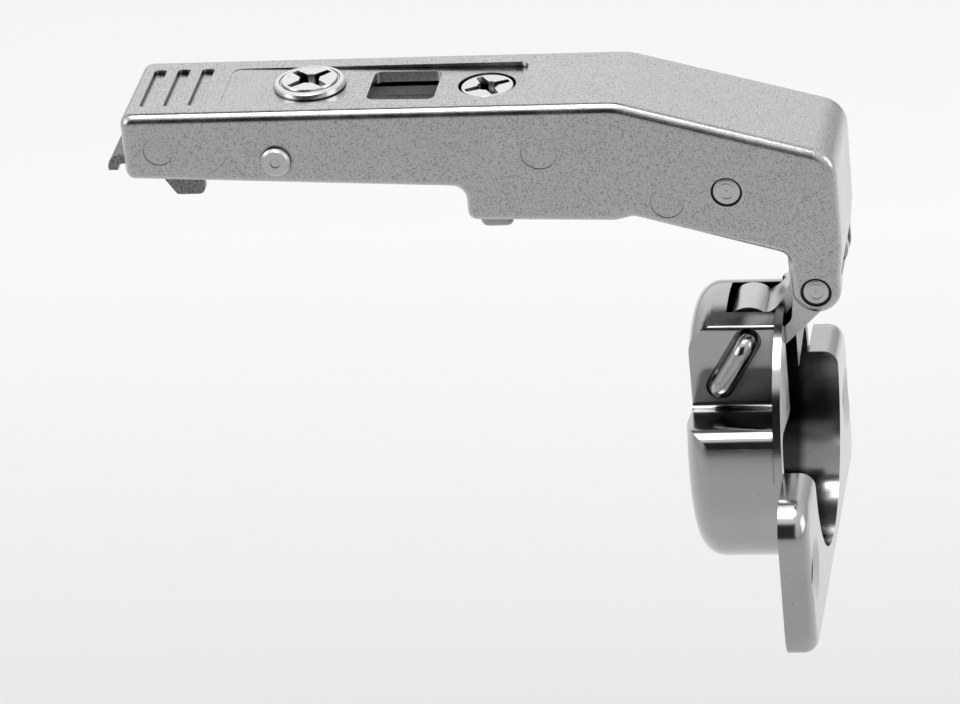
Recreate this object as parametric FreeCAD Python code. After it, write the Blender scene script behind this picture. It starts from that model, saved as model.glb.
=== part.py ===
import FreeCAD, Part
import math
import os

V = FreeCAD.Vector
os.makedirs("parts", exist_ok=True)

# Frame, in mm: the origin is midway between the two cup screws, on the plane where the flange meets the door.
# X runs out of the door and along the arm to its front end, Y across the hinge, Z up to the arm's flat top.

# Arm casting
ARM_HALF = 8.5
WALL = 1.7
ROOF = 1.8
TOP_Z = 57.2
REAR_X = -80.6
FRONT_X = 8.15
CRANK_X = -18.4
CRANK_SLOPE = math.tan(math.radians(16.1))
STEP_X = -38.0
REAR_DEEP = 8.75
STEP_DEEP = 10.85
MIDDLE_DEEP = 15.4
LUG_R = 3.05
ARM_EDGE = 1.2
FRONT_WALL = 1.05
RIVET_R = 1.95
RIVET_DEPTH = 0.35
RIVET_SUNK = 0.1

# Cup, drawn from sheet
CUP_R = 17.5
CUP_DEPTH = 12.1
CUP_Z = 9.5
CUP_SHEET = 1.0
CUP_BACK_ROUND = 3.2
BOX_ROOM = 0.4
BOX_ROUND = 0.7
LEDGE_UP = 5.0
LEDGE_RISE = 1.7
LEDGE_ROUND = 2.4
RIM_R = CUP_R + 0.7
FLANGE_H = 3.8
FLANGE_SHEET = 1.1
EAR_HALF = 27.5
EAR_TOP = 10.2
EAR_LOW = 10.9
EAR_CORNER = 4.2
EAR_EDGE = 1.9
SCREW_PITCH = 45.0
SCREW_R = 2.25
SINK_R = 4.15
SINK_DEPTH = 0.6

# Pivots as (x, z): two in the arm, two in the cup
UPPER_BACK, UPPER_DEEP = 13.67, 12.07
LOWER_BACK, LOWER_DEEP = 3.53, 26.04
EYE_IN, EYE_DEEP = 7.5, 3.2
WEB_EYE_IN, WEB_EYE_DEEP = 3.62, 9.5
ARM_UPPER = (FRONT_X - UPPER_BACK, TOP_Z - UPPER_DEEP)
ARM_LOWER = (FRONT_X - LOWER_BACK, TOP_Z - LOWER_DEEP)
CUP_UPPER = (EYE_IN - CUP_DEPTH, CUP_Z + CUP_R - EYE_DEEP)
CUP_LOWER = (WEB_EYE_IN - CUP_DEPTH, CUP_Z + CUP_R - WEB_EYE_DEEP)
UPPER_PIN_R = 1.6
LOWER_PIN_R = 1.5
WIRE_R = 1.25
RUNNING = 0.05
PRESSED = 0.02
WIRE_BEND = 1.3
WIRE_OUT = 0.6
WIRE_BED = 0.4
WIRE_BED_HALF = 1.75

# Levers
BUSH = 1.25
OUTER_SHEET = 1.1
OUTER_END_R = 2.6
WEB_NEAR_ARM = 3.0
OUTER_EYE_R = 2.3
INNER_ROOM = 0.8
INNER_SHEET = 1.5
INNER_EYE_R = 3.0
KNUCKLE_ROOM = 0.7
INNER_BOW = ((4.2, 2.4, 3.5), (6.3, 6.2, 4.0), (6.1, 11.4, 6.0))
FORK_SLOT = 2.45
FORK_WALL = 1.3
FORK_BACK = 2.3
FORK_TIP = 2.3
FORK_ROUND = 0.9
RING_R = 2.7
INNER_PLAY = 0.3
OUTER_PLAY = 0.15

# Top of the arm
POCKET = (-68.3, -30.7)
POCKET_HALF = 5.3
POCKET_DEPTH = (0.05, 0.7)
POCKET_CORNER = 1.2
WINDOW = (-50.05, -41.55)
WINDOW_HALF = 4.15
WINDOW_CORNER = 1.0
GRIP_X = (-78.5, -75.47, -72.36)
GRIP_WIDTH = 1.6
GRIP_HALF = 5.5
GRIP_DEPTH = 0.5
MARKS = ((-76.0, 4.8, 1.9), (-28.3, 6.1, 2.3), (-12.95, 13.3, 2.1))
MARK_DEPTH = 0.12

# Adjusting screws
DEPTH_SCREW_X = -57.7
DEPTH_HEAD_R = 4.45
DEPTH_HEAD_H = 0.95
DEPTH_LIFT = 0.02
DEPTH_SHANK_R = 3.7
DEPTH_GROOVE = 0.4
DEPTH_RING_OUT = 0.9
DEPTH_RING_H = 0.4
DEPTH_THROW = 1.95
DEPTH_SPIGOT_R = 1.3
DEPTH_TRAVEL = 1.7
SPIGOT_PLAY = 0.4
SIDE_SCREW_X = -35.4
SIDE_SCREW_R = 3.5
SIDE_SUNK = 0.75
SIDE_NECK_R = 1.7
SIDE_FOOT_R = 3.2
SIDE_FOOT_H = 1.05
SIDE_PLAY = 0.75
SIDE_SLOT_PLAY = 0.3
SCREW_GAP = 0.12
SCREW_EDGE = 0.3
CROSS_WIDE = 1.3
CROSS_DEEP = 1.5
DEPTH_CROSS = (3.1, 45)
SIDE_CROSS = (2.9, 28)

# Carrier, slide pins and latch
CARRIER_SIDE = 0.4
CARRIER_SHEET = 1.2
CARRIER_GAP = 0.8
CARRIER_DEEP = 5.8
CARRIER_X = (-76.0, -31.0)
CARRIER_ROUND = 1.5
FOOT_X = STEP_X + 3.2
FOOT_DEEP = 14.9
FOOT_HALF = 1.75
SLIDE_PIN = (-61.2, TOP_Z - 6.4)
SLIDE_PIN_R = 1.85
SLIDE_PIN_OUT = 0.85
SLIDE_PIN_IN = 1.4
SLIDE_DIMPLE_R = 0.65
SLIDE_DIMPLE = 0.15
LATCH_PIN = (-69.6, TOP_Z - 6.2)
LATCH_PIN_R = 1.3
LATCH_SIDE = 0.3
LATCH_SHEET = 1.2
LATCH_HUB_R = 2.1
LATCH_TAIL = 13.9
LATCH_LIP = 2.05
LATCH_HOOK = 6.2
HOOK_FRONT, HOOK_BACK = 1.9, 5.5
LATCH_CHEEK = 8.4
SPRING_SHEET = 0.3
SPRING_HALF = 2.5

# Values that follow from the sizes above
CUP_BACK = -CUP_DEPTH
LEDGE_Z = CUP_Z + LEDGE_UP
ARM_INNER = ARM_HALF - WALL
OUTER_HALF = ARM_INNER - BUSH - OUTER_PLAY
INNER_HALF = OUTER_HALF - OUTER_SHEET - INNER_ROOM
BOX_HALF = OUTER_HALF + BOX_ROOM + CUP_SHEET
CARRIER_HALF = ARM_INNER - CARRIER_SIDE
LATCH_HALF = CARRIER_HALF - CARRIER_SHEET - LATCH_SIDE
ROOF_Z = TOP_Z - ROOF
CARRIER_TOP = ROOF_Z - CARRIER_GAP
CARRIER_ROOF = CARRIER_TOP - CARRIER_SHEET
SIDE_SCREW_TOP = TOP_Z - SIDE_SUNK
LATCH_TOP = LATCH_PIN[1] - LATCH_SHEET / 2
LATCH_PLATE_Z = LATCH_TOP - LATCH_SHEET


def crank_top(x):
    """Height of the sloping top of the crank at x."""
    return TOP_Z - (x - CRANK_X) * CRANK_SLOPE


def pocket_floor(x):
    """Height of the sloping pocket floor at x."""
    share = (x - POCKET[0]) / (POCKET[1] - POCKET[0])
    return TOP_Z - POCKET_DEPTH[0] - (POCKET_DEPTH[1] - POCKET_DEPTH[0]) * share


def outline(points):
    """Closed wire in the XZ plane through (x, z, corner radius) points."""
    corners = []
    for i, (x, z, r) in enumerate(points):
        here = V(x, 0, z)
        before = points[i - 1]
        after = points[(i + 1) % len(points)]
        to_before = (V(before[0], 0, before[1]) - here).normalize()
        to_after = (V(after[0], 0, after[1]) - here).normalize()
        if r == 0:
            corners.append((here, None, here))
            continue
        half = to_before.getAngle(to_after) / 2
        cut = r / math.tan(half)
        middle = here + (to_before + to_after).normalize() * (r / math.sin(half) - r)
        corners.append((here + to_before * cut, middle, here + to_after * cut))
    edges = []
    for i, (start, middle, end) in enumerate(corners):
        if middle:
            edges.append(Part.Arc(start, middle, end).toShape())
        following = corners[(i + 1) % len(corners)][0]
        if end.distanceToPoint(following) > 1e-5:
            edges.append(Part.makeLine(end, following))
    return Part.Wire(Part.__sortEdges__(edges))


def slab(points, y0, y1):
    """Solid between y0 and y1 with the rounded outline of (x, z, corner radius) points."""
    face = Part.Face(outline(points))
    face.translate(V(0, y0, 0))
    return face.extrude(V(0, y1 - y0, 0))


def block(x, y, z):
    """Box between the two limits of each axis."""
    return Part.makeBox(x[1] - x[0], y[1] - y[0], z[1] - z[0], V(x[0], y[0], z[0]))


def rod_y(centre, r, y0, y1):
    """Cylinder across the hinge at (x, z)."""
    return Part.makeCylinder(r, y1 - y0, V(centre[0], y0, centre[1]), V(0, 1, 0))


def rod_z(x, r, z0, z1, y=0.0):
    """Upright cylinder at x, y."""
    return Part.makeCylinder(r, z1 - z0, V(x, y, z0))


def rod_x(z, r, x0, x1, y=0.0):
    """Cylinder along the cup's axis direction at y, z."""
    return Part.makeCylinder(r, x1 - x0, V(x0, y, z), V(1, 0, 0))


def turned(points, x):
    """Solid of revolution about the upright axis at x from (radius, z) points."""
    wire = Part.makePolygon([V(x + r, 0, z) for r, z in points + points[:1]])
    return Part.Face(wire).revolve(V(x, 0, 0), V(0, 0, 1), 360)


def strap(path, sheet):
    """Outline points of a bent strip along a centre path of (x, z, bend radius) points."""
    steps = []
    for (x0, z0, _), (x1, z1, _) in zip(path, path[1:]):
        steps.append(V(x1 - x0, 0, z1 - z0).normalize())
    sides = []
    for side in (1, -1):
        row = []
        for i, (x, z, r) in enumerate(path):
            before = steps[max(i - 1, 0)]
            after = steps[min(i, len(steps) - 1)]
            reach = side * sheet / 2 / (1 + before.dot(after))
            shift = V(-before.z - after.z, 0, before.x + after.x) * reach
            turn = before.x * after.z - before.z * after.x
            radius = r - side * math.copysign(sheet / 2, turn) if r else 0
            row.append((x + shift.x, z + shift.z, radius))
        sides.append(row)
    return sides[0] + sides[1][::-1]


def rounded(shape, radius, wanted):
    """Shape with the edges rounded whose midpoint satisfies wanted."""
    edges = []
    for edge in shape.Edges:
        if wanted(edge.valueAt((edge.FirstParameter + edge.LastParameter) / 2), edge):
            edges.append(edge)
    return shape.makeFillet(radius, edges)


def joined(first, *others):
    """Union of overlapping solids as one clean solid."""
    return first.fuse(list(others)).removeSplitter()


def cross_recess(x, top, reach, turn):
    """Cutter for the cross recess of a screw head, its arms tapered to the tips and turned by an angle."""
    shape = rod_z(x, CROSS_WIDE, top - CROSS_DEEP, top + 1)
    for quarter in range(4):
        wide, tip = CROSS_WIDE / 2, CROSS_WIDE / 3
        corners = [V(x, -wide, 0), V(x + reach, -tip, 0), V(x + reach, tip, 0), V(x, wide, 0), V(x, -wide, 0)]
        arm = Part.Face(Part.makePolygon(corners)).extrude(V(0, 0, CROSS_DEEP + 1))
        arm.translate(V(0, 0, top - CROSS_DEEP))
        arm.rotate(V(x, 0, 0), V(0, 0, 1), turn + quarter * 90)
        shape = shape.fuse(arm)
    return shape


def ledge_height(y):
    """Height of the ledge beside the box at y; it rises a little to the outside."""
    return LEDGE_Z + LEDGE_RISE * (abs(y) - BOX_HALF) / (CUP_R - BOX_HALF)


def cup_body(inset, bend):
    """Drum below the ledge and narrow box above it, smaller all round by inset, the box's bends rounded."""
    back = CUP_BACK + inset
    drum = rod_x(CUP_Z, CUP_R - inset, back, 0)
    low, inner, outer = CUP_Z - CUP_R, LEDGE_Z - inset, ledge_height(CUP_R) - inset
    section = [(-CUP_R, low), (CUP_R, low), (CUP_R, outer), (BOX_HALF, inner), (-BOX_HALF, inner),
               (-CUP_R, outer)]
    face = Part.Face(Part.makePolygon([V(back, y, z) for y, z in section + section[:1]]))
    lower = drum.common(face.extrude(V(-back, 0, 0)))
    lower = rounded(lower, LEDGE_ROUND - inset / 2, lambda p, e: abs(p.y) > CUP_R - LEDGE_ROUND
                    and abs(p.z + inset - ledge_height(p.y)) < 0.02 and e.BoundBox.XLength > CUP_DEPTH / 2)
    half = BOX_HALF - inset
    body = joined(lower, drum.common(block((back, 0), (-half, half), (CUP_Z, CUP_Z + CUP_R))))
    body = rounded(body, bend, lambda p, e: abs(abs(p.y) - half) < 0.01
                   and p.z > CUP_Z + 1 and e.BoundBox.XLength > CUP_DEPTH / 2)
    cap = rod_x(CUP_Z, CUP_R - inset + PRESSED, back, FLANGE_H)
    cap = rounded(cap, CUP_BACK_ROUND - inset / 2, lambda p, e: abs(p.x - back) < 0.01)
    return body.common(cap)


def cup_flange():
    """Ear plate with bent rim, a shallow tray behind the flat face, and the collar of the mouth."""
    y, low, top = EAR_HALF, -EAR_LOW, EAR_TOP
    plate = block((0, FLANGE_H), (-y, y), (low, top))
    plate = rounded(plate, EAR_CORNER, lambda p, e: abs(p.x - FLANGE_H / 2) < 0.01)
    plate = rounded(plate, EAR_EDGE, lambda p, e: abs(p.x - FLANGE_H) < 0.01)
    y, low, top = y - FLANGE_SHEET, low + FLANGE_SHEET, top - FLANGE_SHEET
    hollow = block((-FLANGE_H, FLANGE_H - FLANGE_SHEET), (-y, y), (low, top))
    hollow = rounded(hollow, EAR_CORNER - FLANGE_SHEET, lambda p, e: abs(p.x + FLANGE_SHEET / 2) < 0.01)
    collar = rod_x(CUP_Z, CUP_R, -CUP_SHEET, FLANGE_H)
    collar = collar.common(block((-CUP_SHEET, FLANGE_H), (-CUP_R, CUP_R), (CUP_Z - CUP_R, EAR_TOP)))
    tray = joined(plate.cut(hollow), collar.common(plate.fuse(hollow)))
    for y in (-SCREW_PITCH / 2, SCREW_PITCH / 2):
        tray = tray.fuse(rod_x(0, SCREW_R + FLANGE_SHEET, 0, FLANGE_H - SINK_DEPTH, y))
        tray = tray.cut(rod_x(0, SCREW_R, -1, FLANGE_H + 1, y))
        sink = Part.makeCone(SCREW_R, SINK_R, SINK_DEPTH, V(FLANGE_H - SINK_DEPTH, y, 0), V(1, 0, 0))
        tray = tray.cut(sink)
    return tray.cut(rod_x(CUP_Z, CUP_R - CUP_SHEET, -FLANGE_H, FLANGE_H + 1))


def wire_bed():
    """Cutter for the shallow bed of the wire's bridge in the near wall."""
    upper, lower = V(CUP_UPPER[0], 0, CUP_UPPER[1]), V(CUP_LOWER[0], 0, CUP_LOWER[1])
    along = (lower - upper).normalize()
    across = V(-along.z, 0, along.x) * WIRE_BED_HALF
    y0, y1 = -BOX_HALF - 1, WIRE_BED - BOX_HALF
    corners = [upper + across, lower + across, lower - across, upper - across]
    bed = slab([(p.x, p.z, 0) for p in corners], y0, y1)
    return bed.fuse([rod_y(CUP_UPPER, WIRE_BED_HALF, y0, y1), rod_y(CUP_LOWER, WIRE_BED_HALF, y0, y1)])


def cup_shell():
    """Drawn cup with box, ledge, upper rim and ear flange."""
    rim = rod_x(CUP_Z, RIM_R, -CUP_SHEET, 0)
    rim = rim.common(block((-CUP_SHEET, 0), (-RIM_R, RIM_R), (EAR_TOP - FLANGE_SHEET, CUP_Z + RIM_R)))
    shell = joined(cup_body(0.0, BOX_ROUND), rim, cup_flange())
    shell = shell.cut(cup_body(CUP_SHEET, BOX_ROUND / 2))
    half = INNER_HALF + KNUCKLE_ROOM
    reach = CUP_Z + CUP_R - CUP_SHEET - CUP_UPPER[1]
    slot_x = CUP_UPPER[0] - math.sqrt(INNER_EYE_R ** 2 - reach ** 2) - KNUCKLE_ROOM
    shell = shell.cut(block((slot_x, 1), (-half, half), (CUP_UPPER[1], CUP_Z + RIM_R + 1)))
    for pivot in (CUP_UPPER, CUP_LOWER):
        shell = shell.cut(rod_y(pivot, WIRE_R + PRESSED, -BOX_HALF - 1, BOX_HALF + 1))
    return shell.cut(wire_bed()).removeSplitter()


def axle_wire():
    """U-bent wire: two legs across the cup and a bridge outside its near wall."""
    y = -BOX_HALF - WIRE_R - 0.1
    upper, lower = V(CUP_UPPER[0], y, CUP_UPPER[1]), V(CUP_LOWER[0], y, CUP_LOWER[1])
    along = (lower - upper).normalize()
    across = V(0, 1, 0)
    bend = WIRE_BEND * (1 - math.sqrt(0.5))
    far = V(0, BOX_HALF + WIRE_OUT - y, 0)
    edges = [Part.makeLine(upper + far, upper + across * WIRE_BEND)]
    start, end = upper + across * WIRE_BEND, upper + along * WIRE_BEND
    corner = upper + (along + across) * bend
    edges.append(Part.Arc(start, corner, end).toShape())
    edges.append(Part.makeLine(end, lower - along * WIRE_BEND))
    corner = lower + (across - along) * bend
    edges.append(Part.Arc(lower - along * WIRE_BEND, corner, lower + across * WIRE_BEND).toShape())
    edges.append(Part.makeLine(lower + across * WIRE_BEND, lower + far))
    section = Part.Wire(Part.makeCircle(WIRE_R, upper + far, across))
    return Part.Wire(edges).makePipeShell([section], True, False)


def outer_lever():
    """Pressed U link: two flanges on the lower pin, a web, and an eye rolled round the lower wire leg."""
    pin, eye = V(ARM_LOWER[0], 0, ARM_LOWER[1]), V(CUP_LOWER[0], 0, CUP_LOWER[1])
    length = pin.distanceToPoint(eye)
    along = (eye - pin).normalize()
    out = V(-along.z, 0, along.x)

    def place(points):
        return [((pin + along * u + out * n).x, (pin + along * u + out * n).z, r) for u, n, r in points]

    def web_at(u):
        return WEB_NEAR_ARM + (OUTER_EYE_R - WEB_NEAR_ARM) * u / length

    cheek_end = length - OUTER_EYE_R - 1
    end, turn = OUTER_END_R, OUTER_END_R - 0.05
    cheek = place([(-end, web_at(-end), turn), (-end, -end, turn), (0.6 * end, -end, 2.0),
                   (length / 3, 1.0, 1.5), (cheek_end, 0.8, 0.3), (cheek_end, web_at(cheek_end), 0)])
    web = place([(-0.4, web_at(-0.4), 0), (length, OUTER_EYE_R, 0), (length, OUTER_EYE_R - OUTER_SHEET, 0),
                 (-0.4, web_at(-0.4) - OUTER_SHEET, 0)])
    shape = slab(web, -OUTER_HALF, OUTER_HALF)
    shape = shape.fuse(rod_y(CUP_LOWER, OUTER_EYE_R, -OUTER_HALF, OUTER_HALF))
    for y0, y1 in ((-OUTER_HALF, OUTER_SHEET - OUTER_HALF), (OUTER_HALF - OUTER_SHEET, OUTER_HALF)):
        shape = shape.fuse(slab(cheek, y0, y1))
    shape = shape.cut(rod_y(CUP_LOWER, WIRE_R + RUNNING, -OUTER_HALF - 1, OUTER_HALF + 1))
    shape = shape.cut(rod_y(ARM_LOWER, LOWER_PIN_R + RUNNING, -OUTER_HALF - 1, OUTER_HALF + 1))
    return shape.removeSplitter()


def inner_lever():
    """Bent strap with an eye rolled round the upper wire leg and an open fork over the upper pin."""
    x, z = CUP_UPPER
    bow = [(x + dx, z + dz, r) for dx, dz, r in INNER_BOW]
    path = [CUP_UPPER + (0,)] + bow + [ARM_UPPER + (0,)]
    shape = slab(strap(path, INNER_SHEET), -INNER_HALF, INNER_HALF)
    shape = shape.fuse(rod_y(CUP_UPPER, INNER_EYE_R, -INNER_HALF, INNER_HALF))
    pin, start = V(ARM_UPPER[0], 0, ARM_UPPER[1]), V(bow[-1][0], 0, bow[-1][1])
    along = (pin - start).normalize()

    def obround(half, reach):
        points = []
        for u, n, r in ((-FORK_BACK - half, half, half - 0.01), (reach, half, FORK_ROUND),
                        (reach, -half, FORK_ROUND), (-FORK_BACK - half, -half, half - 0.01)):
            spot = pin + along * u + V(-along.z, 0, along.x) * n
            points.append((spot.x, spot.z, r))
        return points

    shape = shape.fuse(slab(obround(FORK_SLOT + FORK_WALL, FORK_TIP), -INNER_HALF, INNER_HALF))
    shape = shape.cut(slab(obround(FORK_SLOT, FORK_TIP + 5), -INNER_HALF - 1, INNER_HALF + 1))
    shape = shape.cut(rod_y(CUP_UPPER, WIRE_R + RUNNING, -INNER_HALF - 1, INNER_HALF + 1))
    return shape.removeSplitter()


def arm_body():
    """Cranked zinc casting, open below and behind."""
    pin_x, pin_z = ARM_LOWER
    left, right, low = pin_x - LUG_R, pin_x + LUG_R, pin_z - LUG_R
    middle = TOP_Z - MIDDLE_DEEP
    profile = [(REAR_X, TOP_Z, 1.5), (CRANK_X, TOP_Z, 8.0), (FRONT_X, crank_top(FRONT_X), 3.6),
               (FRONT_X, pin_z + 5.8, 8.0), (right, pin_z + 1.8, 8.0), (right, low, LUG_R - 0.02),
               (left, low, LUG_R - 0.02), (left, pin_z + 5.0, 1.7), (CRANK_X + 1.1, middle, 1.0),
               (CRANK_X - 1.2, middle - 0.55, 0.6), (STEP_X, middle, 1.2), (STEP_X, TOP_Z - STEP_DEEP, 1.8),
               (REAR_X, TOP_Z - REAR_DEEP, 1.2)]
    shape = slab(profile, -ARM_HALF, ARM_HALF)
    shape = rounded(shape, ARM_EDGE, lambda p, e: abs(abs(p.y) - ARM_HALF) < 0.01
                    and (p.z > TOP_Z - REAR_DEEP + 0.6
                         or (p.x > FRONT_X - ARM_EDGE and p.z > pin_z + LUG_R - 0.2)))
    inner_front, thin_front = FRONT_X - WALL, FRONT_X - FRONT_WALL
    wall_end = pin_z + math.sqrt((LUG_R + INNER_PLAY) ** 2 - (thin_front - pin_x) ** 2)
    roof_drop = ROOF / math.cos(math.atan(CRANK_SLOPE))
    cavity = [(REAR_X - 1, ROOF_Z, 0), (CRANK_X, ROOF_Z, 0),
              (inner_front, crank_top(inner_front) - roof_drop, 1.5), (inner_front, wall_end + 3, 0),
              (thin_front, wall_end + 1, 0), (thin_front, wall_end, 0), (FRONT_X + 2, wall_end, 0),
              (FRONT_X + 2, low - 1, 0), (REAR_X - 1, low - 1, 0)]
    shape = shape.cut(slab(cavity, -ARM_INNER, ARM_INNER))
    for pivot, r in ((ARM_UPPER, UPPER_PIN_R), (ARM_LOWER, LOWER_PIN_R)):
        shape = shape.cut(rod_y(pivot, r + PRESSED, -ARM_HALF - 1, ARM_HALF + 1))
        for y0, y1 in ((-ARM_HALF - 1, RIVET_DEPTH - ARM_HALF), (ARM_HALF - RIVET_DEPTH, ARM_HALF + 1)):
            shape = shape.cut(rod_y(pivot, RIVET_R, y0, y1))
    shape = shape.cut(rod_y(SLIDE_PIN, SLIDE_PIN_R + RUNNING, -ARM_HALF - 1, ARM_HALF + 1))
    for x, deep, r in MARKS:
        for y0, y1 in ((-ARM_HALF - 1, MARK_DEPTH - ARM_HALF), (ARM_HALF - MARK_DEPTH, ARM_HALF + 1)):
            shape = shape.cut(rod_y((x, TOP_Z - deep), r, y0, y1))
    return cut_top(shape)


def cut_top(shape):
    """Arm with its grip slots, sloping pocket, window and screw holes."""
    for x in GRIP_X:
        slot = block((x, x + GRIP_WIDTH), (-GRIP_HALF, GRIP_HALF), (TOP_Z - GRIP_DEPTH, TOP_Z + 1))
        shape = shape.cut(rounded(slot, GRIP_WIDTH / 3, lambda p, e: e.BoundBox.ZLength > GRIP_DEPTH))
    x0, x1 = POCKET
    section = [(x0, TOP_Z + 1, 0), (x1, TOP_Z + 1, 0), (x1, pocket_floor(x1), 0), (x0, pocket_floor(x0), 0)]
    pocket = slab(section, -POCKET_HALF, POCKET_HALF)
    pocket = rounded(pocket, POCKET_CORNER, lambda p, e: e.BoundBox.ZLength > 1)
    window = block(WINDOW, (-WINDOW_HALF, WINDOW_HALF), (ROOF_Z - 1, TOP_Z + 1))
    window = rounded(window, WINDOW_CORNER, lambda p, e: e.BoundBox.ZLength > 1)
    shape = shape.cut(pocket).cut(window)
    shape = shape.cut(rod_z(DEPTH_SCREW_X, DEPTH_SHANK_R + SCREW_GAP, ROOF_Z - 1, TOP_Z + 1))
    return shape.cut(rod_z(SIDE_SCREW_X, SIDE_SCREW_R + SCREW_GAP, ROOF_Z - 1, TOP_Z + 1))


def arm_pin(pivot, r):
    """Riveted pin through both sides of the arm, its faces just below the surface."""
    end = ARM_HALF - RIVET_SUNK
    pin = rod_y(pivot, r, -end, end)
    return pin.makeChamfer(0.15, [e for e in pin.Edges if abs(abs(e.CenterOfMass.y) - end) < 0.01])


def pair_of_rings(pivot, r, inner):
    """Two equal rings on a pin of radius r, each from y = inner to the arm's side."""
    ring = rod_y(pivot, RING_R, inner, ARM_INNER).cut(rod_y(pivot, r + PRESSED, 0, ARM_HALF))
    return Part.makeCompound([ring, ring.mirror(V(0, 0, 0), V(0, 1, 0))])


def depth_screw():
    """Flanged head, plain shank in the roof and an eccentric spigot in the carrier."""
    x, r, groove = DEPTH_SCREW_X, DEPTH_HEAD_R, DEPTH_SHANK_R - DEPTH_GROOVE
    seat = pocket_floor(x - r) + DEPTH_LIFT
    top = seat + DEPTH_HEAD_H
    shoulder = CARRIER_TOP + CARRIER_GAP / 3
    shape = turned([(0, shoulder), (groove, shoulder), (groove, ROOF_Z), (DEPTH_SHANK_R, ROOF_Z),
                    (DEPTH_SHANK_R, seat), (r, seat), (r, top - 0.35), (r - 0.15, top - 0.2),
                    (r - 0.6, top - 0.15), (r - 0.7, top - 0.3), (r - 0.9, top - 0.3), (r - 1.0, top),
                    (0, top)], x)
    spigot = rod_z(x, DEPTH_SPIGOT_R, CARRIER_ROOF - 0.3, shoulder + 0.2, DEPTH_THROW)
    return joined(shape, spigot).cut(cross_recess(x, top, *DEPTH_CROSS))


def depth_screw_ring():
    """Snap ring below the roof in the groove of the depth screw."""
    bore = DEPTH_SHANK_R - DEPTH_GROOVE + PRESSED
    top = ROOF_Z - RUNNING
    ring = rod_z(DEPTH_SCREW_X, DEPTH_SHANK_R + DEPTH_RING_OUT, top - DEPTH_RING_H, top)
    return ring.cut(rod_z(DEPTH_SCREW_X, bore, ROOF_Z - 1, ROOF_Z + 1))


def side_screw():
    """Set screw in the roof whose necked foot is held in the carrier's fork."""
    x, r, edge, top = SIDE_SCREW_X, SIDE_SCREW_R, SCREW_EDGE, SIDE_SCREW_TOP
    foot = CARRIER_ROOF - SIDE_PLAY
    low, shoulder = foot - SIDE_FOOT_H, CARRIER_TOP + SIDE_PLAY
    shape = turned([(0, low), (SIDE_FOOT_R - edge, low), (SIDE_FOOT_R, low + edge), (SIDE_FOOT_R, foot),
                    (SIDE_NECK_R, foot), (SIDE_NECK_R, shoulder), (r - edge, shoulder), (r, shoulder + edge),
                    (r, top - edge), (r - edge, top), (0, top)], x)
    return shape.cut(cross_recess(x, top, *SIDE_CROSS))


def carrier():
    """Pressed channel that clips on the mounting plate, with slots for the slide pins and a front foot."""
    x0, x1 = CARRIER_X
    low, foot = CARRIER_TOP - CARRIER_DEEP, CARRIER_TOP - FOOT_DEEP
    front, back = FOOT_X + FOOT_HALF, FOOT_X - FOOT_HALF
    side = [(x0, CARRIER_TOP, 1.5), (x1, CARRIER_TOP, 1.5), (x1, foot + 3.9, 1.0),
            (front + 0.7, foot + 1.6, 0.6), (front, foot, 0.8), (back, foot, 0.8),
            (back - 0.7, foot + 1.6, 0.6), (back - 3.1, low, 1.5), (x0, low, 1.5)]
    inner = CARRIER_HALF - CARRIER_SHEET
    shape = slab(side, -CARRIER_HALF, CARRIER_HALF)
    shape = rounded(shape, CARRIER_ROUND, lambda p, e: abs(p.z - CARRIER_TOP) < 0.01
                    and abs(abs(p.y) - CARRIER_HALF) < 0.01)
    shape = shape.cut(block((x0 - 1, x1 + 1), (-inner, inner), (foot - 1, CARRIER_ROOF)))
    slot = SLIDE_PIN_R + RUNNING
    run = DEPTH_TRAVEL + slot + 0.1
    x, z = SLIDE_PIN
    shape = shape.cut(slab([(x - run, z + slot, 1.2), (x + run, z + slot, 1.2), (x + run, z - slot, 1.2),
                            (x - run, z - slot, 1.2)], -CARRIER_HALF - 1, CARRIER_HALF + 1))
    shape = shape.cut(rod_y(LATCH_PIN, LATCH_PIN_R + PRESSED, -CARRIER_HALF - 1, CARRIER_HALF + 1))
    high = (CARRIER_ROOF - 1, CARRIER_TOP + 1)
    half = DEPTH_SPIGOT_R + SPIGOT_PLAY
    y = (DEPTH_THROW / 2 - half, DEPTH_THROW + half)
    shape = shape.cut(block((DEPTH_SCREW_X - half, DEPTH_SCREW_X + half), y, high))
    room = DEPTH_TRAVEL + 0.5
    half = WINDOW_HALF + 0.4
    shape = shape.cut(block((WINDOW[0] - room, WINDOW[1] + room), (-half, half), high))
    half = SIDE_NECK_R + SIDE_SLOT_PLAY
    end = SIDE_SCREW_X - DEPTH_TRAVEL - SIDE_SLOT_PLAY
    shape = shape.cut(rod_z(end, half, *high))
    shape = shape.cut(block((end, x1 + 1), (-half, half), high))
    return shape.removeSplitter()


def slide_pins():
    """Two stub pins in the arm's sides that run in the carrier's slots."""
    out = ARM_HALF + SLIDE_PIN_OUT
    pin = rod_y(SLIDE_PIN, SLIDE_PIN_R, CARRIER_HALF - SLIDE_PIN_IN, out)
    pin = pin.makeChamfer(0.3, [e for e in pin.Edges if abs(e.CenterOfMass.y - out) < 0.01])
    pin = pin.cut(rod_y(SLIDE_PIN, SLIDE_DIMPLE_R, out - SLIDE_DIMPLE, out + 1))
    return Part.makeCompound([pin, pin.mirror(V(0, 0, 0), V(0, 1, 0))])


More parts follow.
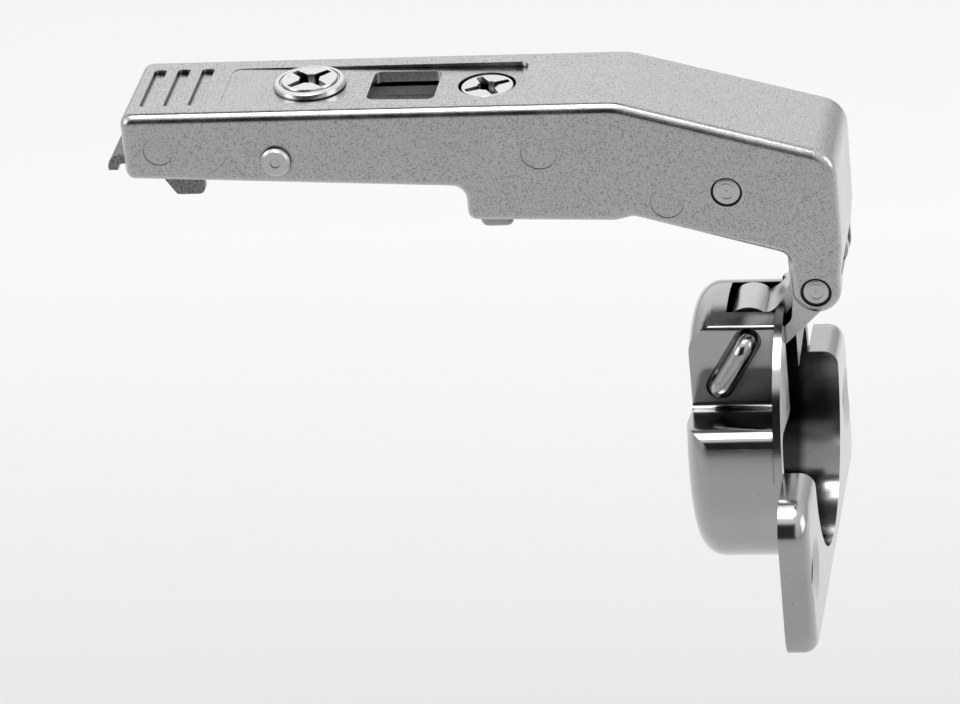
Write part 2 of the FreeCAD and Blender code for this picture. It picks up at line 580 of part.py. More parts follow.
def latch():
    """Pressed release lever: tail plate with a bent lip, two cheeks on the pin and two hooks below."""
    x, z = LATCH_PIN
    hub, low = LATCH_HUB_R, z - LATCH_HOOK
    front, back, end = x - HOOK_FRONT, x - HOOK_BACK, x - LATCH_CHEEK
    cheek = [(x + hub, z + hub, hub - 0.1), (x + hub, z - hub, 1.5), (front, z - hub - 0.6, 0.5),
             (front, low, 0.8), (back, low, 0.7), (back - 1.3, low + 2.0, 0.8), (end, LATCH_PLATE_Z, 1.0),
             (end, LATCH_TOP, 0), (x - hub, z + hub, 1.5)]
    inner = LATCH_HALF - LATCH_SHEET
    tip, middle = x - LATCH_TAIL + LATCH_SHEET / 2, LATCH_TOP - LATCH_SHEET / 2
    plate = strap([(tip, LATCH_TOP - LATCH_LIP, 0), (tip, middle, 1.0), (x - 3.0, middle, 0)], LATCH_SHEET)
    shape = slab(plate, -LATCH_HALF, LATCH_HALF)
    for y0, y1 in ((-LATCH_HALF, -inner), (inner, LATCH_HALF)):
        shape = shape.fuse(slab(cheek, y0, y1))
    bore = rod_y(LATCH_PIN, LATCH_PIN_R + RUNNING, -LATCH_HALF - 1, LATCH_HALF + 1)
    return shape.cut(bore).removeSplitter()


def latch_spring():
    """Leaf on the latch's tail plate that bears on the carrier's roof close to the pin."""
    x = LATCH_PIN[0]
    low, high = LATCH_TOP + SPRING_SHEET / 2, CARRIER_ROOF - 2.5 * SPRING_SHEET
    path = [(x - LATCH_CHEEK, low, 0), (x - HOOK_BACK, low, 2.0), (x - 3.0, high, 0.8), (x - 2.3, high, 0)]
    return slab(strap(path, SPRING_SHEET), -SPRING_HALF, SPRING_HALF)


NODES = {
    "arm_body": arm_body(),
    "upper_lever_pin": arm_pin(ARM_UPPER, UPPER_PIN_R),
    "lower_lever_pin": arm_pin(ARM_LOWER, LOWER_PIN_R),
    "lever_sleeves": pair_of_rings(ARM_UPPER, UPPER_PIN_R, INNER_HALF + INNER_PLAY),
    "lever_bushes": pair_of_rings(ARM_LOWER, LOWER_PIN_R, OUTER_HALF + OUTER_PLAY),
    "depth_screw": depth_screw(),
    "depth_screw_ring": depth_screw_ring(),
    "side_screw": side_screw(),
    "slide_pins": slide_pins(),
    "carrier": carrier(),
    "latch": latch(),
    "latch_pin": rod_y(LATCH_PIN, LATCH_PIN_R, -CARRIER_HALF, CARRIER_HALF),
    "latch_spring": latch_spring(),
    "outer_lever": outer_lever(),
    "inner_lever": inner_lever(),
    "cup_shell": cup_shell(),
    "axle_wire": axle_wire(),
}

for name, shape in NODES.items():
    shape.exportStep(f"parts/{name}.step")
    print(name, shape.isValid(), len(shape.Solids), round(shape.Volume, 1))
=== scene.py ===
"""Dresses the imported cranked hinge: finishes, small surface pieces, studio and camera."""

import logging
import math
from dataclasses import dataclass
from enum import Enum

import bmesh
import bpy
from mathutils import Matrix, Vector


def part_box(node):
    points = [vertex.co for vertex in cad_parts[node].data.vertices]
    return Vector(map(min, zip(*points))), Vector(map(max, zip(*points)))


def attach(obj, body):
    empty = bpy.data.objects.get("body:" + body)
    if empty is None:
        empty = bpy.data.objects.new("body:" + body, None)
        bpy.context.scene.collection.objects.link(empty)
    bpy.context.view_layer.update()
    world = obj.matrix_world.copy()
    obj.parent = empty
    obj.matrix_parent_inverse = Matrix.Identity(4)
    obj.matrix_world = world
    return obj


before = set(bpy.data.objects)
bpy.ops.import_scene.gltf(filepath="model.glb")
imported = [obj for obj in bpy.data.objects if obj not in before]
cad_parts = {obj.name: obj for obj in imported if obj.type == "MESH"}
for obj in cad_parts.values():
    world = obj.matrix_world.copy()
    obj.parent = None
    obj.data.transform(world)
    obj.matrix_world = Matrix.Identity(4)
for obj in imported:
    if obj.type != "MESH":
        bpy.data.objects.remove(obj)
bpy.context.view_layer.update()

log = logging.getLogger("hinge")
MM = 0.001
NOISE_ROUGHNESS = 0.6
Span = tuple[float, float]
Triple = tuple[float, float, float]
Socket = bpy.types.NodeSocket


class Grain(Enum):
    """How a surface was made, which sets the pattern of its finish."""

    CAST = "cast"
    DRAWN = "drawn"
    BRUSHED = "brushed"
    TURNED = "turned"
    MOULDED = "moulded"


class Blend(Enum):
    """How one colour is laid over another."""

    COVER = "MIX"
    MULTIPLY = "MULTIPLY"


class Fade(Enum):
    """How a ramp goes from one stop to the next."""

    EVEN = "LINEAR"
    SOFT = "EASE"


@dataclass(frozen=True)
class Tree:
    """The node tree of a material or of the world, with the moves that finishes and studio share.

    Attributes:
        nodes: The tree's nodes.
        links: The tree's links.
    """

    nodes: bpy.types.Nodes
    links: bpy.types.NodeLinks

    @classmethod
    def of(cls, owner: bpy.types.Material | bpy.types.World) -> "Tree":
        """Turns the owner's nodes on and opens its tree."""
        owner.use_nodes = True
        return cls(owner.node_tree.nodes, owner.node_tree.links)

    def feed(self, target: Socket, value: Socket | float | Vector | Triple) -> None:
        """Links another socket to the target, or sets a plain value on it.

        Args:
            target: The socket that takes the value.
            value: A socket to link, or a number, vector or triple to set.
        """
        if isinstance(value, bpy.types.NodeSocket):
            self.links.new(value, target)
        else:
            target.default_value = value

    def coordinates(self, kind: str) -> Socket:
        """Adds texture coordinates of the kind that Blender names so."""
        return self.nodes.new("ShaderNodeTexCoord").outputs[kind]

    def split(self, vector: Socket) -> bpy.types.NodeOutputs:
        """Splits a vector into its sockets X, Y and Z."""
        node = self.nodes.new("ShaderNodeSeparateXYZ")
        self.feed(node.inputs["Vector"], vector)
        return node.outputs

    def moved(self, vector: Socket, shift: Vector | Triple = (0.0, 0.0, 0.0),
              stretch: Triple = (1.0, 1.0, 1.0)) -> Socket:
        """Shifts and stretches coordinates.

        Args:
            vector: Coordinates in metres.
            shift: What is added to them.
            stretch: What they are multiplied by along each axis.

        Returns:
            The socket with the new coordinates.
        """
        node = self.nodes.new("ShaderNodeMapping")
        self.feed(node.inputs["Vector"], vector)
        self.feed(node.inputs["Location"], shift)
        self.feed(node.inputs["Scale"], stretch)
        return node.outputs["Vector"]

    def reckon(self, operation: str, first: Socket, second: Socket | float = 0.0) -> Socket:
        """Works out one value from one or two.

        Args:
            operation: Blender's name of the operation.
            first: The first value.
            second: The second value, where the operation takes one.

        Returns:
            The socket with the result.
        """
        node = self.nodes.new("ShaderNodeMath")
        node.operation = operation
        self.feed(node.inputs[0], first)
        self.feed(node.inputs[1], second)
        return node.outputs["Value"]

    def levels(self, value: Socket, old: Span, new: Span) -> Socket:
        """Maps a value from one range to another.

        Args:
            value: The value to map.
            old: Range that the value comes in.
            new: Range that it goes to.

        Returns:
            The socket with the mapped value.
        """
        node = self.nodes.new("ShaderNodeMapRange")
        for name, number in zip(("From Min", "From Max", "To Min", "To Max"), (*old, *new)):
            self.feed(node.inputs[name], number)
        self.feed(node.inputs["Value"], value)
        return node.outputs["Result"]

    def mix(self, blend: Blend, share: Socket | float, first: Socket, second: Socket) -> Socket:
        """Mixes two colours.

        Args:
            blend: How the second colour is laid over the first.
            share: Share of the second colour.
            first: The first colour.
            second: The second colour.

        Returns:
            The socket with the mixture.
        """
        node = self.nodes.new("ShaderNodeMix")
        node.data_type = "RGBA"
        node.blend_type = blend.value
        for name, value in (("Factor", share), ("A", first), ("B", second)):
            self.feed(node.inputs[name], value)
        return node.outputs["Result"]

    def ramp(self, value: Socket, stops: list[tuple[float, Triple]], fade: Fade = Fade.EVEN) -> Socket:
        """Turns a value into a colour.

        Args:
            value: The value from 0 to 1.
            stops: Place and colour of each stop, in order.
            fade: How the colour goes from stop to stop.

        Returns:
            The socket with the colour.
        """
        node = self.nodes.new("ShaderNodeValToRGB")
        node.color_ramp.interpolation = fade.value
        elements = node.color_ramp.elements
        while len(elements) < len(stops):
            elements.new(0.5)
        for element, (place, colour) in zip(elements, stops):
            element.position = place
            element.color = (*colour, 1.0)
        self.feed(node.inputs["Fac"], value)
        return node.outputs["Color"]

    def noise(self, vector: Socket, size_mm: float, detail: float) -> Socket:
        """Adds a noise texture.

        Args:
            vector: Coordinates in metres.
            size_mm: Size of one blotch in millimetres.
            detail: Octaves of finer noise.

        Returns:
            The socket with the noise value.
        """
        node = self.nodes.new("ShaderNodeTexNoise")
        settings = (("Vector", vector), ("Scale", 1.0 / (size_mm * MM)), ("Detail", detail),
                    ("Roughness", NOISE_ROUGHNESS))
        for name, value in settings:
            self.feed(node.inputs[name], value)
        return node.outputs["Fac"]


@dataclass(frozen=True)
class HollowShade:
    """Painted shade in hollows: the base colour darkens where nearby walls hide the sky.

    Attributes:
        reach_mm: How near a wall has to stand to count.
        openness: Share of open sky from the deepest place to an unshaded one.
        deepest: Share of brightness that is left in the deepest place.
        samples: Rays that look for walls.
    """

    reach_mm: float
    openness: Span = (0.18, 0.50)
    deepest: float = 0.12
    samples: int = 8

    def share(self, tree: Tree) -> Socket:
        """Adds the share of brightness that the painted shade leaves.

        Args:
            tree: Node tree of the material.

        Returns:
            The socket with the share.
        """
        hidden = tree.nodes.new("ShaderNodeAmbientOcclusion")
        hidden.samples = self.samples
        tree.feed(hidden.inputs["Distance"], self.reach_mm * MM)
        return tree.levels(hidden.outputs["AO"], self.openness, (self.deepest, 1.0))


@dataclass(frozen=True)
class BowlShade:
    """Painted shade on the inner walls of a bowl, up to its lip.

    Attributes:
        centre_mm: Point that the inner walls face.
        facing_mm: How far a wall stands from that point along its normal, from a fully shaded wall to an
            unshaded one.
        lip_mm: Place along x where the painted shade ends and where the unshaded lip starts.
        shaded_share: Share of brightness that the painted shade leaves on the inner walls.
    """

    centre_mm: Triple
    facing_mm: Span = (-8.0, -3.0)
    lip_mm: Span = (-1.8, -0.4)
    shaded_share: float = 0.16

    def share(self, tree: Tree, vector: Socket) -> Socket:
        """Adds the share of brightness that the painted shade leaves in the bowl.

        Args:
            tree: Node tree of the material.
            vector: Coordinates in metres.

        Returns:
            The socket with the share.
        """
        facing = tree.nodes.new("ShaderNodeVectorMath")
        facing.operation = "DOT_PRODUCT"
        tree.feed(facing.inputs[0], tree.coordinates("Normal"))
        tree.feed(facing.inputs[1], tree.moved(vector, shift=-Vector(self.centre_mm) * MM))
        wall_from, wall_to = self.facing_mm
        inner = tree.levels(facing.outputs["Value"], (wall_from * MM, wall_to * MM), (self.shaded_share, 1.0))
        lip_from, lip_to = self.lip_mm
        lip = tree.levels(tree.split(vector)["X"], (lip_from * MM, lip_to * MM), (0.0, 1.0))
        return tree.reckon("MAXIMUM", inner, lip)


# Painted shade in the narrow gaps between parts.
CREVICE_SHADE = HollowShade(0.7, openness=(0.45, 0.80), deepest=0.22)
GRAIN_STRETCH: dict[Grain, Triple] = {Grain.DRAWN: (0.3, 1.0, 1.0), Grain.BRUSHED: (0.12, 1.0, 0.12)}
GRAIN_DETAIL: dict[Grain, float] = {Grain.CAST: 3.0, Grain.DRAWN: 2.0, Grain.BRUSHED: 4.0, Grain.MOULDED: 1.0}
# Turned rings: the wave texture's ring width at scale 1, and how uneven the rings are.
RING_PERIOD = 0.314
RING_WOBBLE = 0.6
RING_DETAIL = 2.0
# Broad clouds: their width in grains, how far they darken, and the part of their noise that counts for gloss.
CLOUD_GRAINS = 28
CLOUD_DETAIL = 3.0
CLOUD_SHARE = 0.18
CLOUD_SPAN = (0.35, 0.65)
# Fine specks: their width in grains, and the noise level at which dark turns to light.
SPECK_GRAINS = 1.3
SPECK_DETAIL = 1.0
SPECK_MIDDLE = 0.5
SPECK_RANGE = 0.28
SPECK_BLUR = 0.10


@dataclass(frozen=True)
class Finish:
    """One surface finish with its colours, gloss and grain.

    Attributes:
        name: Plain name of the finish.
        light: Base colour of the clean surface.
        dark: Colour of the pores, specks or worn places.
        roughness: Lowest and highest roughness over the surface.
        grain: Kind of surface pattern.
        size_mm: Width of one grain, line or ring in millimetres.
        relief_mm: Height of the grain's bump in millimetres.
        specks: How much of the dark colour shows, from 0 to 1.
        metallic: Share of metal in the shader.
        shade_mm: How near a wall has to stand to paint shade in a hollow.
        bowl: The bowl whose inner walls get painted shade; none if left out.
    """

    name: str
    light: Triple
    dark: Triple
    roughness: Span
    grain: Grain
    size_mm: float
    relief_mm: float
    specks: float
    metallic: float = 1.0
    shade_mm: float = 3.0
    bowl: BowlShade | None = None

    def material(self, centre: Vector | None = None) -> bpy.types.Material:
        """Builds the node material of this finish.

        Args:
            centre: Point on the axis of a turned face; the origin if left out.

        Returns:
            The new material.
        """
        mat = bpy.data.materials.new(self.name)
        tree = Tree.of(mat)
        shader = tree.nodes["Principled BSDF"]
        vector = tree.moved(tree.coordinates("Object"), shift=-centre if centre else Vector())
        clouds = tree.noise(vector, self.size_mm * CLOUD_GRAINS, CLOUD_DETAIL)
        bump = tree.nodes.new("ShaderNodeBump")
        tree.feed(bump.inputs["Strength"], 1.0)
        tree.feed(bump.inputs["Distance"], self.relief_mm * MM)
        tree.feed(bump.inputs["Height"], self._grain_height(tree, vector))
        tree.feed(shader.inputs["Metallic"], self.metallic)
        tree.feed(shader.inputs["Base Color"], self._colour(tree, vector, clouds))
        tree.feed(shader.inputs["Roughness"], tree.levels(clouds, CLOUD_SPAN, self.roughness))
        tree.feed(shader.inputs["Normal"], bump.outputs["Normal"])
        return mat

    def _grain_height(self, tree: Tree, vector: Socket) -> Socket:
        """Adds the fine height pattern of the grain.

        Args:
            tree: Node tree of the material.
            vector: Coordinates in metres.

        Returns:
            The socket with the height from 0 to 1.
        """
        if self.grain is not Grain.TURNED:
            if self.grain in GRAIN_STRETCH:
                vector = tree.moved(vector, stretch=GRAIN_STRETCH[self.grain])
            return tree.noise(vector, self.size_mm, GRAIN_DETAIL[self.grain])
        rings = tree.nodes.new("ShaderNodeTexWave")
        rings.wave_type = "RINGS"
        rings.rings_direction = "Y"
        tree.feed(rings.inputs["Vector"], vector)
        tree.feed(rings.inputs["Scale"], RING_PERIOD / (self.size_mm * MM))
        tree.feed(rings.inputs["Distortion"], RING_WOBBLE)
        tree.feed(rings.inputs["Detail"], RING_DETAIL)
        return rings.outputs["Fac"]

    def _colour(self, tree: Tree, vector: Socket, clouds: Socket) -> Socket:
        """Adds the colour: fine specks, broad clouds, and painted shade in hollows, narrow gaps and a bowl's
        inner walls.

        Args:
            tree: Node tree of the material.
            vector: Coordinates in metres.
            clouds: Broad noise that clouds the surface.

        Returns:
            The socket with the colour.
        """
        specks = tree.noise(vector, self.size_mm * SPECK_GRAINS, SPECK_DETAIL)
        edge = SPECK_MIDDLE - SPECK_RANGE * (1.0 - self.specks)
        colour = tree.ramp(specks, [(edge - SPECK_BLUR, self.dark), (edge + SPECK_BLUR, self.light)])
        colour = tree.mix(Blend.MULTIPLY, CLOUD_SHARE, colour, clouds)
        # Painted shade: the base colour darkens in hollows and in narrow gaps between parts.
        for hollow in (HollowShade(self.shade_mm), CREVICE_SHADE):
            colour = tree.mix(Blend.MULTIPLY, 1.0, colour, hollow.share(tree))
        # Painted shade on the inner walls of the bowl, up to its lip.
        if self.bowl:
            colour = tree.mix(Blend.MULTIPLY, 1.0, colour, self.bowl.share(tree, vector))
        return colour


# Every finish below darkens its hollows within shade_mm of a wall, as painted shade.
PLATED_CASTING = Finish(
    "plated_casting", light=(0.70, 0.70, 0.69), dark=(0.31, 0.31, 0.31), roughness=(0.17, 0.26),
    grain=Grain.CAST, size_mm=0.12, relief_mm=0.012, specks=0.62, shade_mm=12.0)
# The cup's inside gets painted shade up to its mouth.
POLISHED_CUP = Finish(
    "polished_cup", light=(0.57, 0.57, 0.56), dark=(0.42, 0.42, 0.42), roughness=(0.10, 0.19),
    grain=Grain.DRAWN, size_mm=0.3, relief_mm=0.002, specks=0.10, shade_mm=14.0, bowl=BowlShade((2.0, 0.0, 9.5)))
LEVER_STEEL = Finish(
    "lever_steel", light=(0.76, 0.76, 0.75), dark=(0.48, 0.48, 0.48), roughness=(0.24, 0.38),
    grain=Grain.BRUSHED, size_mm=0.25, relief_mm=0.005, specks=0.25, shade_mm=8.0)
PIN_STEEL = Finish(
    "pin_steel", light=(0.78, 0.78, 0.77), dark=(0.50, 0.50, 0.50), roughness=(0.26, 0.40),
    grain=Grain.TURNED, size_mm=0.28, relief_mm=0.006, specks=0.20)
BRIGHT_SCREW = Finish(
    "bright_screw", light=(0.94, 0.94, 0.93), dark=(0.60, 0.60, 0.60), roughness=(0.12, 0.22),
    grain=Grain.DRAWN, size_mm=0.5, relief_mm=0.003, specks=0.15)
# Darker than the casting partly as painted shade, so the channel seen through the arm's window looks shaded.
CARRIER_STEEL = Finish(
    "carrier_steel", light=(0.45, 0.45, 0.44), dark=(0.22, 0.22, 0.22), roughness=(0.30, 0.44),
    grain=Grain.BRUSHED, size_mm=0.3, relief_mm=0.006, specks=0.3, shade_mm=18.0)
# The latch's dark tone is painted shade: it stands for plated steel that lies in the arm's shadow.
LATCH_STEEL = Finish(
    "latch_steel", light=(0.32, 0.32, 0.32), dark=(0.08, 0.08, 0.08), roughness=(0.32, 0.48),
    grain=Grain.CAST, size_mm=0.22, relief_mm=0.02, specks=0.60, metallic=0.9, shade_mm=6.0)
SPRING_STEEL = Finish(
    "spring_steel", light=(0.20, 0.20, 0.21), dark=(0.10, 0.10, 0.11), roughness=(0.25, 0.35),
    grain=Grain.BRUSHED, size_mm=0.2, relief_mm=0.004, specks=0.2)
# A near-black ring that paints the shade in the gap round each riveted pin.
SEAM_SHADE = Finish(
    "seam_shade", light=(0.035, 0.035, 0.035), dark=(0.012, 0.012, 0.012), roughness=(0.40, 0.55),
    grain=Grain.MOULDED, size_mm=0.15, relief_mm=0.006, specks=0.4, metallic=0.6)
BUSH_PLASTIC = Finish(
    "bush_plastic", light=(0.62, 0.62, 0.60), dark=(0.50, 0.50, 0.48), roughness=(0.40, 0.52),
    grain=Grain.MOULDED, size_mm=0.4, relief_mm=0.006, specks=0.2, metallic=0.0)

BROKEN_EDGE_ANGLE = math.radians(40)
BROKEN_EDGE_SEGMENTS = 2
LATHE_STEPS = 48
WELD_M = 1e-7


def dress(node: str, finish: Finish, centre: Vector | None = None, soften_mm: float = 0.0) -> None:
    """Gives a CAD node its finish and softly broken edges.

    Args:
        node: Name of the CAD node.
        finish: The finish to give it.
        centre: Axis point of a turned finish.
        soften_mm: Width of the broken edge; none at 0.
    """
    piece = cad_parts[node]
    piece.data.materials.clear()
    piece.data.materials.append(finish.material(centre))
    if soften_mm:
        bevel = piece.modifiers.new("broken_edge", "BEVEL")
        bevel.width = soften_mm * MM
        bevel.segments = BROKEN_EDGE_SEGMENTS
        bevel.limit_method = "ANGLE"
        bevel.angle_limit = BROKEN_EDGE_ANGLE
        bevel.harden_normals = True
    log.info("dressed %s with %s", node, finish.name)


def lathe(name: str, profile: list[Span], place: Matrix) -> bpy.types.Object:
    """Turns a profile round its axis into a new mesh piece.

    Args:
        name: Name of the piece.
        profile: Radius and height pairs in millimetres, from the inside outwards.
        place: Where the piece's axis stands in the shared frame.

    Returns:
        The new object.
    """
    mesh = bpy.data.meshes.new(name)
    bm = bmesh.new()
    spots = [bm.verts.new((r * MM, 0.0, h * MM)) for r, h in profile]
    edges = [bm.edges.new(pair) for pair in zip(spots, spots[1:])]
    bmesh.ops.spin(
        bm, geom=spots + edges, cent=(0, 0, 0), axis=(0, 0, 1), angle=2 * math.pi, steps=LATHE_STEPS)
    bmesh.ops.remove_doubles(bm, verts=bm.verts, dist=WELD_M)
    bmesh.ops.recalc_face_normals(bm, faces=bm.faces)
    for face in bm.faces:
        face.smooth = True
    bm.transform(place)
    bm.to_mesh(mesh)
    bm.free()
    piece = bpy.data.objects.new(name, mesh)
    bpy.context.scene.collection.objects.link(piece)
    return piece


@dataclass(frozen=True)
class Pin:
    """A turned steel pin that lies across the hinge.

    Attributes:
        node: Name of the pin's CAD node.
        x: Place of its axis along the arm in millimetres.
        z: Height of its axis in millimetres.
    """

    node: str
    x: float
    z: float

    def axis(self) -> Vector:
        """Gives the middle of the pin's axis in metres."""
        return Vector((self.x, 0, self.z)) * MM

    def build(self) -> None:
        """Dresses the pin."""
        dress(self.node, PIN_STEEL, self.axis())


@dataclass(frozen=True)
class RivetedPin(Pin):
    """A pin whose two ends are riveted in a recess of the arm.

    All profiles are pairs of radius and height over the pin's end in millimetres.

    Attributes:
        radius: Radius of the pin in millimetres.
        recess_r: Radius of the recess round it in millimetres.
        bead: Centre dot and rolled bead of the face.
        rim: Edge of the face, with radii counted from the pin's own.
        seam_inner: Inner side of the dark seam ring, which paints the shade in the gap, with radii counted
            from the pin's own.
        seam_outer: Outer side of the seam, with radii counted from the recess's.
    """

    radius: float
    recess_r: float = 1.95
    bead: tuple[Span, ...] = (
        (0.0, 0.03), (0.22, 0.03), (0.34, -0.02), (0.80, -0.02), (0.92, 0.05), (1.10, 0.05), (1.22, -0.01))
    rim: tuple[Span, ...] = ((0.0, 0.0), (0.14, -0.09), (0.10, -0.20))
    seam_inner: tuple[Span, ...] = ((-0.05, -0.30), (0.01, -0.10), (0.10, -0.14))
    seam_outer: tuple[Span, ...] = ((-0.08, -0.12), (-0.01, -0.06), (0.05, -0.30))

    def build(self) -> None:
        """Dresses the pin and adds the rolled face and a dark seam ring of painted shade at both ends."""
        super().build()
        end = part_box(self.node)[1][1] / MM
        face = [*self.bead, *self._around(self.radius, self.rim)]
        seam = [*self._around(self.radius, self.seam_inner), *self._around(self.recess_r, self.seam_outer)]
        for side, label in ((1, "far"), (-1, "near")):
            turn = Matrix.Rotation(-side * math.pi / 2, 4, "X")
            place = Matrix.Translation(Vector((self.x, side * end, self.z)) * MM) @ turn
            for part, profile, finish in (("face", face, PIN_STEEL), ("seam", seam, SEAM_SHADE)):
                piece = lathe(f"{self.node}_{label}_{part}", profile, place)
                piece.data.materials.append(finish.material(self.axis()))
                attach(piece, "arm")
                log.info("added %s", piece.name)

    @staticmethod
    def _around(radius: float, profile: tuple[Span, ...]) -> list[Span]:
        """Counts a profile's radii from the given radius."""
        return [(radius + r, h) for r, h in profile]


@dataclass
class Arm:
    """The cast arm with its pins, screws and sleeves.

    Attributes:
        upper_pin: Riveted pin of the inner lever, which also carries the sleeves.
        lower_pin: Riveted pin of the outer lever.
        slide_pins: The pins that slide in the carrier.
        soften_mm: Width of the screws' broken edges.
    """

    upper_pin: RivetedPin = RivetedPin("upper_lever_pin", -5.52, 45.13, radius=1.6)
    lower_pin: RivetedPin = RivetedPin("lower_lever_pin", 4.62, 31.16, radius=1.5)
    slide_pins: Pin = Pin("slide_pins", -61.2, 50.8)
    soften_mm: float = 0.12

    def build(self) -> None:
        """Dresses the arm's nodes and adds the pins' rolled faces."""
        dress("arm_body", PLATED_CASTING)
        for pin in (self.upper_pin, self.lower_pin, self.slide_pins):
            pin.build()
        dress("lever_sleeves", PIN_STEEL, self.upper_pin.axis())
        dress("lever_bushes", BUSH_PLASTIC)
        dress("depth_screw", BRIGHT_SCREW, soften_mm=self.soften_mm)
        dress("depth_screw_ring", SPRING_STEEL)
        dress("side_screw", BRIGHT_SCREW, soften_mm=self.soften_mm)


@dataclass
class Carrier:
    """The channel inside the arm, with the latch that holds the mounting plate.

    Attributes:
        latch_pin: The pin that the latch turns on.
        soften_mm: Width of the broken edges.
    """

    latch_pin: Pin = Pin("latch_pin", -69.6, 51.0)
    soften_mm: float = 0.12

    def build(self) -> None:
        """Dresses the carrier, the latch, its pin and its spring."""
        dress("carrier", CARRIER_STEEL, soften_mm=self.soften_mm)
        dress("latch", LATCH_STEEL, soften_mm=self.soften_mm)
        self.latch_pin.build()
        dress("latch_spring", SPRING_STEEL)


@dataclass
class Levers:
    """The two links between arm and cup.

    Attributes:
        soften_mm: Width of the broken edges.
    """

    soften_mm: float = 0.15

    def build(self) -> None:
        """Dresses both levers."""
        for node in ("outer_lever", "inner_lever"):
            dress(node, LEVER_STEEL, soften_mm=self.soften_mm)


@dataclass
class Cup:
    """The drawn cup with its ears and the wire that carries the levers.

    Attributes:
        soften_mm: Width of the cup's broken edges.
    """

    soften_mm: float = 0.3

    def build(self) -> None:
        """Dresses the cup and its wire."""
        dress("cup_shell", POLISHED_CUP, soften_mm=self.soften_mm)
        dress("axle_wire", POLISHED_CUP)


@dataclass(frozen=True)
class Softbox:
    """One square studio lamp.

    Attributes:
        name: Name of the lamp.
        place: Position in metres.
        watts: Power of the lamp.
        size: Edge length in metres.
    """

    name: str
    place: Triple
    watts: float
    size: float = 0.5

    def build(self, target: Triple) -> None:
        """Hangs the lamp so that it faces the target.

        Args:
            target: Point that the lamp faces, in metres.
        """
        data = bpy.data.lights.new(self.name, "AREA")
        data.size = self.size
        data.energy = self.watts
        lamp = bpy.data.objects.new(self.name, data)
        lamp.location = self.place
        towards = Vector(target) - Vector(self.place)
        lamp.rotation_euler = towards.to_track_quat("-Z", "Y").to_euler()
        bpy.context.scene.collection.objects.link(lamp)
        log.info("hung %s", self.name)


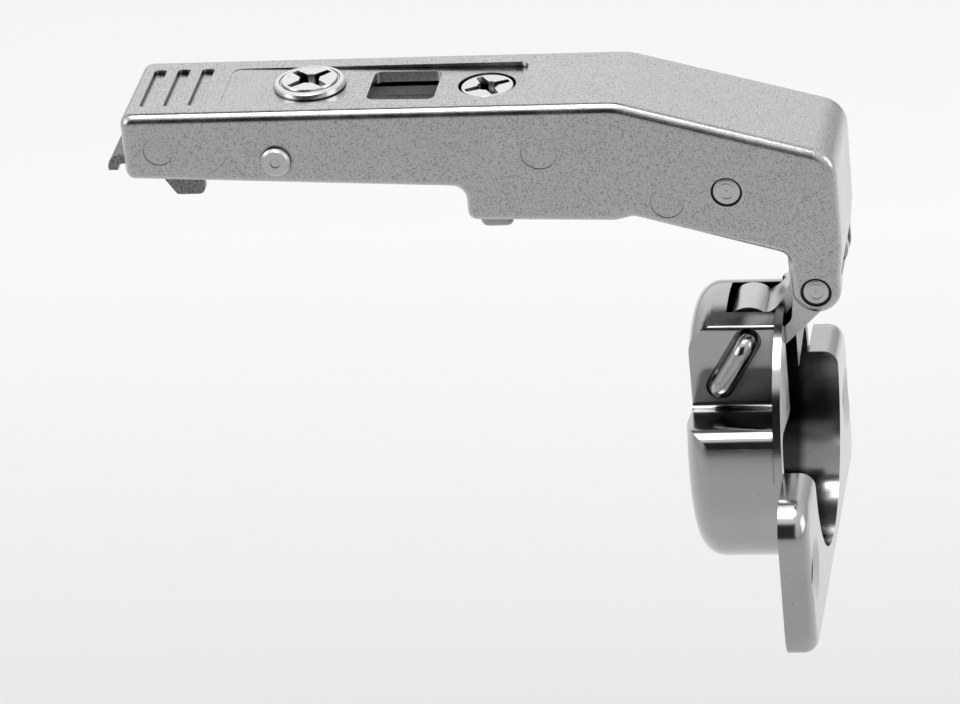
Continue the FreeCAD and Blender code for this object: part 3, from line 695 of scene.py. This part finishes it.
@dataclass
class Studio:
    """Floor, soft light, surroundings and the photograph's camera.

    Attributes:
        floor_z: Height of the floor in metres.
        floor_size: Half the floor's edge length in metres.
        floor_fade: Where the floor's tone starts and ends to change, from front to back, in metres.
        floor_tone: Tone of the floor in front and behind.
        floor_rough: Roughness of the floor.
        lens_mm: Focal length of the camera.
        film_mm: Width of its frame.
        clip: Nearest and farthest distance that it sees, in metres.
        eye: Camera position in metres.
        right: Camera's right direction.
        up: Camera's up direction.
        lamps: The softboxes.
        lit_point: Point that the softboxes face, in metres.
        room: Brightness of the screens in front, above and behind, by angle in degrees from the front horizon
            at 0 over the zenith to the back at 180.
        screens_x: Sideways place of the screens' middle as a part of the viewing direction.
        screens_edge: How far from that middle the screens start to end and have ended.
        wall_height: Lowest and highest part of the side walls as a part of the viewing direction.
        wall_tone: Brightness of the side walls there.
    """

    floor_z: float = -0.10
    floor_size: float = 1.6
    floor_fade: Span = (-0.10, 0.28)
    floor_tone: Span = (0.51, 0.94)
    floor_rough: float = 0.8
    lens_mm: float = 209.12
    film_mm: float = 36.0
    clip: Span = (0.01, 50.0)
    eye: Triple = (0.07875, -0.62135, 0.33770)
    right: Triple = (0.98576, 0.14120, -0.09131)
    up: Triple = (0.01665, 0.45840, 0.88858)
    lamps: tuple[Softbox, ...] = (
        Softbox("top_softbox", (-0.10, -0.05, 0.85), watts=3.2),
        Softbox("left_softbox", (-0.75, -0.35, 0.35), watts=1.2),
        Softbox("right_softbox", (0.75, -0.10, 0.30), watts=1.0))
    lit_point: Triple = (-0.03, 0.0, 0.03)
    room: tuple[Span, ...] = (
        (-180, 0.40), (-20, 0.40), (-12, 0.03), (42, 0.02), (54, 0.95), (95, 1.0), (102, 0.04), (127, 0.03),
        (137, 0.95), (180, 0.95))
    screens_x: float = -0.167
    screens_edge: Span = (0.28, 0.50)
    wall_height: Span = (-0.2, 1.0)
    wall_tone: Span = (0.42, 0.95)

    def build(self) -> None:
        """Sets up the whole studio."""
        bpy.context.scene.view_settings.view_transform = "Standard"
        self._floor()
        self._surroundings()
        for lamp in self.lamps:
            lamp.build(self.lit_point)
        self._camera()

    def _floor(self) -> None:
        """Lays a pale floor, light grey in front of the object and near white behind it."""
        mesh = bpy.data.meshes.new("floor")
        bm = bmesh.new()
        bmesh.ops.create_grid(bm, x_segments=1, y_segments=1, size=self.floor_size)
        bm.to_mesh(mesh)
        bm.free()
        floor = bpy.data.objects.new("floor", mesh)
        floor.location.z = self.floor_z
        bpy.context.scene.collection.objects.link(floor)
        mat = bpy.data.materials.new("pale_floor")
        tree = Tree.of(mat)
        shader = tree.nodes["Principled BSDF"]
        depth = tree.split(tree.coordinates("Object"))["Y"]
        tree.feed(shader.inputs["Base Color"], tree.levels(depth, self.floor_fade, self.floor_tone))
        tree.feed(shader.inputs["Roughness"], self.floor_rough)
        mesh.materials.append(mat)

    def _surroundings(self) -> None:
        """Fills the room with light and dark screens between plain side walls."""
        world = bpy.data.worlds.new("studio")
        bpy.context.scene.world = world
        tree = Tree.of(world)
        view = tree.split(tree.coordinates("Generated"))
        pitch = tree.reckon("ARCTAN2", view["Z"], tree.reckon("MULTIPLY", view["Y"], -1.0))
        stops = [((degrees + 180.0) / 360.0, (level, level, level)) for degrees, level in self.room]
        screens = tree.ramp(tree.levels(pitch, (-math.pi, math.pi), (0.0, 1.0)), stops, Fade.SOFT)
        apart = tree.reckon("ABSOLUTE", tree.reckon("SUBTRACT", view["X"], self.screens_x))
        beside = tree.levels(apart, self.screens_edge, (0.0, 1.0))
        walls = tree.levels(view["Z"], self.wall_height, self.wall_tone)
        tree.feed(tree.nodes["Background"].inputs["Color"], tree.mix(Blend.COVER, beside, screens, walls))

    def _camera(self) -> None:
        """Places the camera where the photograph was taken from."""
        data = bpy.data.cameras.new("photo_camera")
        data.lens = self.lens_mm
        data.sensor_width = self.film_mm
        data.clip_start, data.clip_end = self.clip
        camera = bpy.data.objects.new("photo_camera", data)
        right, up = Vector(self.right), Vector(self.up)
        turn = Matrix((right, up, right.cross(up).normalized())).transposed().to_4x4()
        camera.matrix_world = Matrix.Translation(self.eye) @ turn
        bpy.context.scene.collection.objects.link(camera)
        bpy.context.scene.camera = camera


def main() -> None:
    """Builds every sub-assembly and the studio."""
    logging.basicConfig(level=logging.INFO, format="%(message)s")
    for assembly in (Arm(), Carrier(), Levers(), Cup(), Studio()):
        assembly.build()
        log.info("built %s", type(assembly).__name__)


if __name__ == "__main__":
    main()
